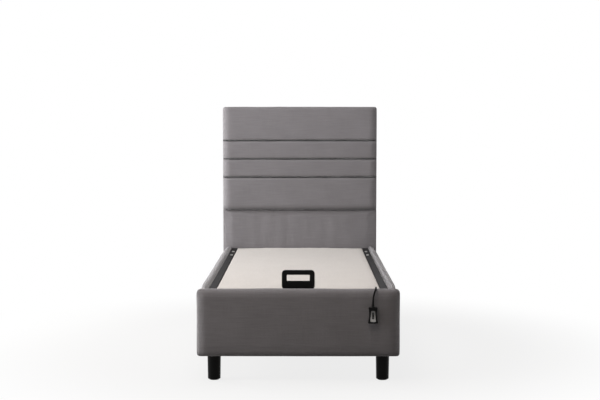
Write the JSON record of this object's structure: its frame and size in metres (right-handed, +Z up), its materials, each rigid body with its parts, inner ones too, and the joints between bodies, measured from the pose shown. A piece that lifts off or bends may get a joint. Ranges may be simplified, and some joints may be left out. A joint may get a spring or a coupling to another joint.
{
  "type": "adjustable bed base",
  "caption": "Upholstered box bed base on short legs with a tall channelled headboard, a motor-lifted steel-framed deck over storage, a loop mattress stop and a corded push-button handset.",
  "frame": {"origin": "on the floor, under the middle of the object's box", "axes": "+Z up, +Y from the foot panel to the headboard, +X to the right seen from the foot"},
  "size_m": [1.008, 2.086, 1.378],
  "materials": {
    "upholstery": "woven grey cloth over foam",
    "back_lining": "plain lining cloth on hardboard",
    "deck_cloth": "beige cloth over thin foam",
    "panel_board": "raw particle board and plywood",
    "timber": "planed softwood",
    "deck_steel": "dark grey powder coat",
    "lift_steel": "black powder coat",
    "fasteners": "zinc plated",
    "leg_plates": "black steel",
    "leg_black": "glossy black",
    "black_plastic": "black moulded plastic",
    "drive_plastic": "dark grey moulded plastic",
    "motor": "painted motor can",
    "buffer_rubber": "red-brown rubber",
    "handset_black": "black moulded plastic",
    "handset_grey": "grey face plate",
    "button_dark": "dark push buttons",
    "cord_black": "black cord jacket"
  },
  "bodies": {
    "base": {"foot_panel_cover": "upholstery", "side_cover_left": "upholstery", "side_cover_right": "upholstery", "headboard_upper_pad": "upholstery", "headboard_lower_pad": "upholstery", "headboard_back_panel": "back_lining", "foot_panel_board": "panel_board", "side_board_left": "panel_board", "side_board_right": "panel_board", "head_end_board": "panel_board", "storage_floor_front": "panel_board", "storage_floor_rear": "panel_board", "headboard_face_board": "panel_board", "corner_blocks": "timber", "floor_cleats": "timber", "floor_beam": "timber", "headboard_stiles": "timber", "headboard_rails": "timber", "rest_blocks": "timber", "lift_plates": "lift_steel", "drive_tube": "lift_steel", "drive_tube_sockets": "lift_steel", "headboard_bolts": "fasteners", "lift_plate_bolts": "fasteners", "arm_pivots": "fasteners", "leg_studs": "fasteners", "leg_plates": "leg_plates", "legs": "leg_black", "leg_glides": "black_plastic", "drive_housing": "drive_plastic", "cord_gland": "drive_plastic", "mains_inlet": "drive_plastic", "drive_motor": "motor", "rest_buffers": "buffer_rubber", "handset_front_shell": "handset_black", "handset_back_shell": "handset_black", "handset_boot": "handset_black", "handset_plate": "handset_grey", "handset_cord": "cord_black"},
    "lift_arms": {"rear_arms": "lift_steel", "torque_tube": "lift_steel", "lift_lever": "lift_steel"},
    "front_arm_left": {"front_arm_left": "lift_steel", "front_arm_stud_left": "fasteners"},
    "front_arm_right": {"front_arm_right": "lift_steel", "front_arm_stud_right": "fasteners"},
    "drive_slide": {"drive_slide": "drive_plastic"},
    "deck": {"deck_rail_left": "deck_steel", "deck_rail_right": "deck_steel", "rail_end_caps": "black_plastic", "deck_cross_tubes": "deck_steel", "deck_board": "panel_board", "deck_cover": "deck_cloth", "lift_brackets": "lift_steel", "bracket_bolts": "fasteners", "deck_arm_pins": "fasteners", "mattress_stop": "black_plastic", "mattress_stop_screws": "fasteners"},
    "button_up": {"button_up": "button_dark"},
    "button_down": {"button_down": "button_dark"}
  },
  "joints": [
    {"name": "lift", "type": "hinge", "parent": "base", "child": "lift_arms", "pos_m": [0, 0.325, 0.245], "axis": [1, 0, 0], "range_deg": [0, 48]},
    {"name": "deck_tilt", "type": "hinge", "parent": "lift_arms", "child": "deck", "pos_m": [0, 0.7065, 0.3725], "axis": [-1, 0, 0], "range_deg": [0, 71.7]},
    {"name": "front_arm_left", "type": "hinge", "parent": "base", "child": "front_arm_left", "pos_m": [-0.4405, 0.177, 0.2615], "axis": [1, 0, 0], "range_deg": [0, 43]},
    {"name": "front_arm_right", "type": "hinge", "parent": "base", "child": "front_arm_right", "pos_m": [0.4405, 0.177, 0.2615], "axis": [1, 0, 0], "range_deg": [0, 43]},
    {"name": "drive_slide", "type": "slide", "parent": "base", "child": "drive_slide", "axis": [0, -1, 0], "range_m": [0, 0.078]},
    {"name": "button_up", "type": "slide", "parent": "base", "child": "button_up", "axis": [0, 1, 0], "range_m": [0, 0.001], "stiffness_N_per_m": 400, "springref_m": -0.001},
    {"name": "button_down", "type": "slide", "parent": "base", "child": "button_down", "axis": [0, 1, 0], "range_m": [0, 0.001], "stiffness_N_per_m": 400, "springref_m": -0.001}
  ],
  "couplings": [
    {"joint": "deck_tilt", "follows": "lift", "ratio": 1.4924},
    {"joint": "front_arm_left", "follows": "lift", "ratio": 0.8944},
    {"joint": "front_arm_right", "follows": "lift", "ratio": 0.8944},
    {"joint": "drive_slide", "follows": "lift", "m_per_rad": 0.0926}
  ]
}
